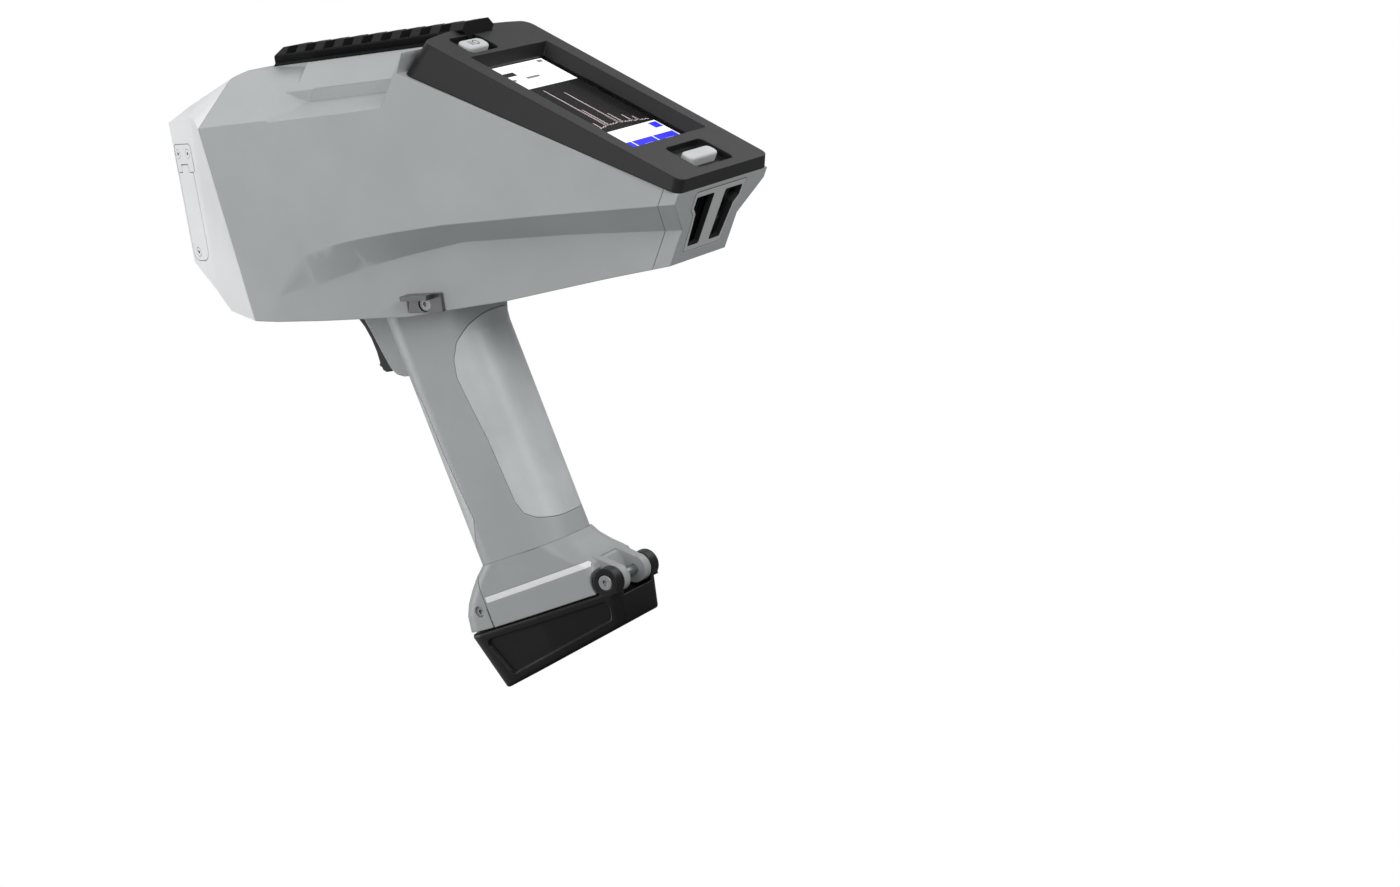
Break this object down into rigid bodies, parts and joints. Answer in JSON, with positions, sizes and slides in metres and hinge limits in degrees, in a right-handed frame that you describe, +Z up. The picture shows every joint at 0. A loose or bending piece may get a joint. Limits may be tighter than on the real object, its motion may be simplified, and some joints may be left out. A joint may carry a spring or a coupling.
{
  "type": "handheld xrf analyzer",
  "caption": "Pistol-grip handheld X-ray fluorescence analyser with sloping rear display, accessory rail, trigger, hinged battery door and filter door.",
  "frame": {"origin": "centre of the bounding box at floor level; the analyser stands on the flat base of its battery door", "axes": "+Z up, -X towards the measuring nose, which points 23 degrees above the horizon, +Y towards the analyser's right flank as its user sees it"},
  "size_m": [0.2452, 0.0848, 0.2807],
  "materials": {
    "body_grey": "fine textured moulded polycarbonate",
    "nose_light_grey": "light satin moulded polycarbonate",
    "black_plastic": "black satin moulded plastic",
    "grip_rubber": "soft matte overmould",
    "foot_grey": "smooth painted grey",
    "bright_trim": "polished",
    "steel": "machined",
    "screw_steel": "machined socket screws",
    "dark_steel": "blackened",
    "cast_aluminium": "die cast, natural",
    "anodised_black": "hard anodised, satin",
    "display_glass": "polished cover glass",
    "display_module": "lit display",
    "key_grey": "silicone keys",
    "lens_smoke": "translucent light guide",
    "circuit_board": "solder mask",
    "battery_black": "battery case",
    "film": "thin polymer film",
    "brass": "turned",
    "seal_rubber": "soft",
    "epoxy_black": "potting compound",
    "switch_plastic": "switch case"
  },
  "bodies": {
    "analyzer": {"accessory_rail": "anodised_black", "anchor_screws": "screw_steel", "battery_contacts": "brass", "battery_pack": "battery_black", "board_standoffs": "brass", "chassis": "cast_aluminium", "collimator": "brass", "detector": "steel", "display_bezel": "black_plastic", "display_glass": "display_glass", "display_module": "display_module", "fan_housing": "black_plastic", "filter_hinge_pin": "steel", "filter_hinge_plate": "nose_light_grey", "filter_plate_screws": "screw_steel", "foot_housing": "foot_grey", "foot_inlays": "bright_trim", "front_grip_strip": "grip_rubber", "grip_core": "body_grey", "grip_screws": "screw_steel", "heat_sink": "anodised_black", "hv_supply": "epoxy_black", "key_switches": "switch_plastic", "lanyard_anchors": "dark_steel", "left_indicator_lens": "lens_smoke", "left_shell": "body_grey", "main_board": "circuit_board", "nose_cap": "nose_light_grey", "nose_plate": "steel", "nose_screws": "screw_steel", "rail_screws": "dark_steel", "rear_cap": "body_grey", "rear_grip_panel": "grip_rubber", "right_indicator_lens": "lens_smoke", "right_shell": "body_grey", "shell_screws": "screw_steel", "trigger_bracket": "steel", "trigger_pin": "steel", "trigger_spring": "steel", "trigger_switch": "switch_plastic", "vent_frame": "black_plastic", "wheel_motor": "steel", "window_film": "film", "window_ring": "dark_steel", "xray_tube": "steel"},
    "trigger": {"trigger": "black_plastic"},
    "battery_door": {"battery_door": "black_plastic", "door_seal": "seal_rubber", "door_pad": "seal_rubber", "hinge_pin": "steel", "hinge_screws": "screw_steel"},
    "latch": {"latch_lever": "foot_grey", "latch_pin": "steel", "latch_screws": "screw_steel"},
    "power_key": {"power_key": "key_grey"},
    "enter_key": {"enter_key": "key_grey"},
    "fan_rotor": {"fan_rotor": "black_plastic"},
    "filter_wheel": {"filter_wheel": "cast_aluminium"},
    "filter_door": {"filter_door": "nose_light_grey", "filter_door_screw": "screw_steel"}
  },
  "joints": [
    {"name": "trigger_pull", "type": "hinge", "parent": "analyzer", "child": "trigger", "pos_m": [-0.06298, 0, 0.17571], "axis": [0, -1, 0], "range_deg": [0, 7], "stiffness_Nm_per_rad": 0.6, "springref_deg": -5.73},
    {"name": "battery_door_swing", "type": "hinge", "parent": "analyzer", "child": "battery_door", "pos_m": [-0.01248, 0, 0.0183], "axis": [0, -1, 0], "range_deg": [0, 95]},
    {"name": "latch_press", "type": "hinge", "parent": "analyzer", "child": "latch", "pos_m": [-0.07783, 0, 0.03338], "axis": [0, -1, 0], "range_deg": [0, 3], "stiffness_Nm_per_rad": 1.5, "springref_deg": -3.44},
    {"name": "power_key_press", "type": "slide", "parent": "analyzer", "child": "power_key", "axis": [-0.813, 0, -0.5823], "range_m": [0, 0.0008], "stiffness_N_per_m": 800, "springref_m": -0.0004},
    {"name": "enter_key_press", "type": "slide", "parent": "analyzer", "child": "enter_key", "axis": [-0.813, 0, -0.5823], "range_m": [0, 0.0008], "stiffness_N_per_m": 800, "springref_m": -0.0004},
    {"name": "fan_spin", "type": "hinge", "parent": "analyzer", "child": "fan_rotor", "pos_m": [0.101, 0.0084, 0.12918], "axis": [0.5823, 0, -0.813], "continuous": true},
    {"name": "filter_wheel_turn", "type": "hinge", "parent": "analyzer", "child": "filter_wheel", "pos_m": [-0.08931, 0, 0.25464], "axis": [0.9179, 0, -0.3969], "continuous": true},
    {"name": "filter_door_swing", "type": "hinge", "parent": "analyzer", "child": "filter_door", "pos_m": [-0.09923, -0.02212, 0.25871], "axis": [-0.8489, 0.3803, 0.3671], "range_deg": [0, 75]}
  ]
}
